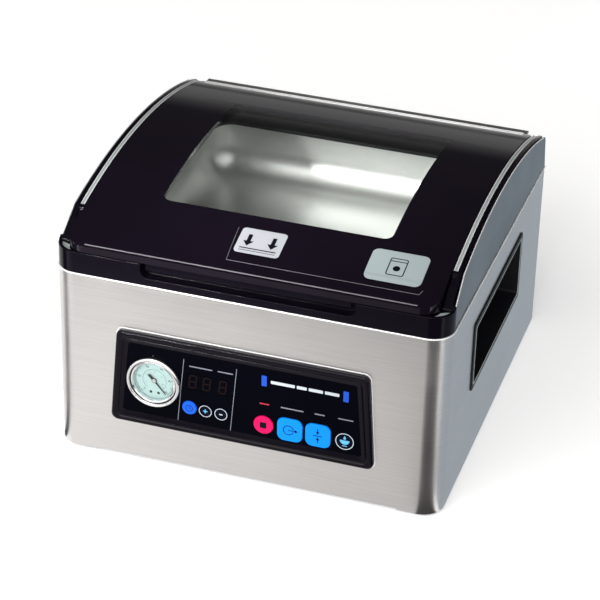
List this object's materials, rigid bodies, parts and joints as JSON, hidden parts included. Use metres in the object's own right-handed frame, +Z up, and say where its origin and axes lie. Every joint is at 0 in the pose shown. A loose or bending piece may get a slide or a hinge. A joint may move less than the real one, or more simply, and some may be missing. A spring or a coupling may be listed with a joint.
{
  "type": "vacuum chamber sealer",
  "caption": "Countertop vacuum chamber sealer: steel body, arched hinged lid with a clear window over a drawn chamber, lifting seal bar, gauge and push-button panel.",
  "frame": {"origin": "on the standing surface, under the middle of the overall box", "axes": "+X to the right seen from the front, +Y to the rear, +Z up; the control panel faces -Y"},
  "size_m": [0.363, 0.371, 0.239],
  "materials": {
    "brushed_steel": "fine brushed",
    "side_panel_steel": "fine brushed, darker",
    "zinc_sheet": "zinc coated sheet",
    "chamber_steel": "satin, drawn",
    "black_moulding": "gloss",
    "lid_black": "high gloss",
    "matt_black": "matt",
    "clear_acrylic": "clear",
    "silver_trim": "satin",
    "aluminium": "extruded, satin",
    "rod_steel": "ground",
    "chrome": "polished",
    "black_rubber": "matt",
    "silicone": "matt",
    "glass_cloth_tape": "woven glass tape",
    "panel_overlay": "smooth gloss",
    "dial_white": "printed, matt",
    "circuit_board": "solder mask",
    "motor_grey": "satin",
    "cast_aluminium": "cast",
    "core_iron": "varnished laminations",
    "coil_tape": "wound and taped",
    "valve_brass": "machined",
    "hose_blue": "smooth",
    "button_blue": "smooth",
    "button_light_blue": "smooth",
    "button_red": "smooth",
    "button_dark": "smooth"
  },
  "bodies": {
    "machine": {"base_plate": "zinc_sheet", "body_shell": "brushed_steel", "control_bezel": "black_moulding", "control_board": "circuit_board", "control_panel": "panel_overlay", "display_window": "panel_overlay", "fan_guard": "chrome", "fan_housing": "matt_black", "foot_front_left": "black_rubber", "foot_front_right": "black_rubber", "foot_rear_left": "black_rubber", "foot_rear_right": "black_rubber", "gauge_case": "matt_black", "gauge_dial": "dial_white", "gauge_lens": "clear_acrylic", "gauge_pipe": "hose_blue", "gauge_ring": "chrome", "hand_grip_left": "matt_black", "hand_grip_right": "matt_black", "hinge_bracket_left": "rod_steel", "hinge_bracket_right": "rod_steel", "hinge_rod": "rod_steel", "lift_cylinder_left": "aluminium", "lift_cylinder_right": "aluminium", "power_inlet": "matt_black", "pump_head": "cast_aluminium", "pump_motor": "motor_grey", "rear_panel": "zinc_sheet", "side_panel_left": "side_panel_steel", "side_panel_right": "side_panel_steel", "switch_housing": "matt_black", "transformer_coil": "coil_tape", "transformer_core": "core_iron", "trim_strip_left": "silver_trim", "trim_strip_right": "silver_trim", "upper_frame": "black_moulding", "vacuum_chamber": "chamber_steel", "vacuum_hose": "hose_blue", "vent_valve": "valve_brass"},
    "lid": {"lid_shell": "lid_black", "lid_window": "clear_acrylic", "lid_handle": "black_moulding", "lid_frame": "matt_black", "lid_gasket": "silicone", "counter_strip": "silicone", "hinge_profile": "aluminium"},
    "sealing_bar": {"seal_bar": "aluminium", "heating_strip": "glass_cloth_tape", "lift_rod_left": "rod_steel", "lift_rod_right": "rod_steel"},
    "button_time": {"button_time": "button_blue"},
    "button_plus": {"button_plus": "button_dark"},
    "button_minus": {"button_minus": "button_dark"},
    "button_stop": {"button_stop": "button_red"},
    "button_vacuum_seal": {"button_vacuum_seal": "button_light_blue"},
    "button_seal": {"button_seal": "button_light_blue"},
    "button_marinate": {"button_marinate": "button_dark"},
    "needle": {"gauge_needle": "matt_black"},
    "rocker": {"power_rocker": "button_red"},
    "fan_rotor": {"fan_rotor": "matt_black"}
  },
  "joints": [
    {"name": "lid_hinge", "type": "hinge", "parent": "machine", "child": "lid", "pos_m": [0, 0.1735, 0.2015], "axis": [-1, 0, 0], "range_deg": [0, 65]},
    {"name": "seal_bar_lift", "type": "slide", "parent": "machine", "child": "sealing_bar", "axis": [0, 0, 1], "range_m": [0, 0.006]},
    {"name": "button_time_press", "type": "slide", "parent": "machine", "child": "button_time", "axis": [0, 1, 0], "range_m": [0, 0.0008], "stiffness_N_per_m": 600},
    {"name": "button_plus_press", "type": "slide", "parent": "machine", "child": "button_plus", "axis": [0, 1, 0], "range_m": [0, 0.0008], "stiffness_N_per_m": 600},
    {"name": "button_minus_press", "type": "slide", "parent": "machine", "child": "button_minus", "axis": [0, 1, 0], "range_m": [0, 0.0008], "stiffness_N_per_m": 600},
    {"name": "button_stop_press", "type": "slide", "parent": "machine", "child": "button_stop", "axis": [0, 1, 0], "range_m": [0, 0.0008], "stiffness_N_per_m": 600},
    {"name": "button_vacuum_seal_press", "type": "slide", "parent": "machine", "child": "button_vacuum_seal", "axis": [0, 1, 0], "range_m": [0, 0.0008], "stiffness_N_per_m": 600},
    {"name": "button_seal_press", "type": "slide", "parent": "machine", "child": "button_seal", "axis": [0, 1, 0], "range_m": [0, 0.0008], "stiffness_N_per_m": 600},
    {"name": "button_marinate_press", "type": "slide", "parent": "machine", "child": "button_marinate", "axis": [0, 1, 0], "range_m": [0, 0.0008], "stiffness_N_per_m": 600},
    {"name": "gauge_needle_turn", "type": "hinge", "parent": "machine", "child": "needle", "pos_m": [-0.0848, -0.1802, 0.0894], "axis": [0, -1, 0], "range_deg": [0, 265], "stiffness_Nm_per_rad": 0.0004},
    {"name": "power_rocker_tilt", "type": "hinge", "parent": "machine", "child": "rocker", "pos_m": [-0.07, 0.1765, 0.046], "axis": [1, 0, 0], "range_deg": [0, 18]},
    {"name": "fan_spin", "type": "hinge", "parent": "machine", "child": "fan_rotor", "pos_m": [0.105, 0.1695, 0.072], "axis": [0, 1, 0], "continuous": true}
  ]
}
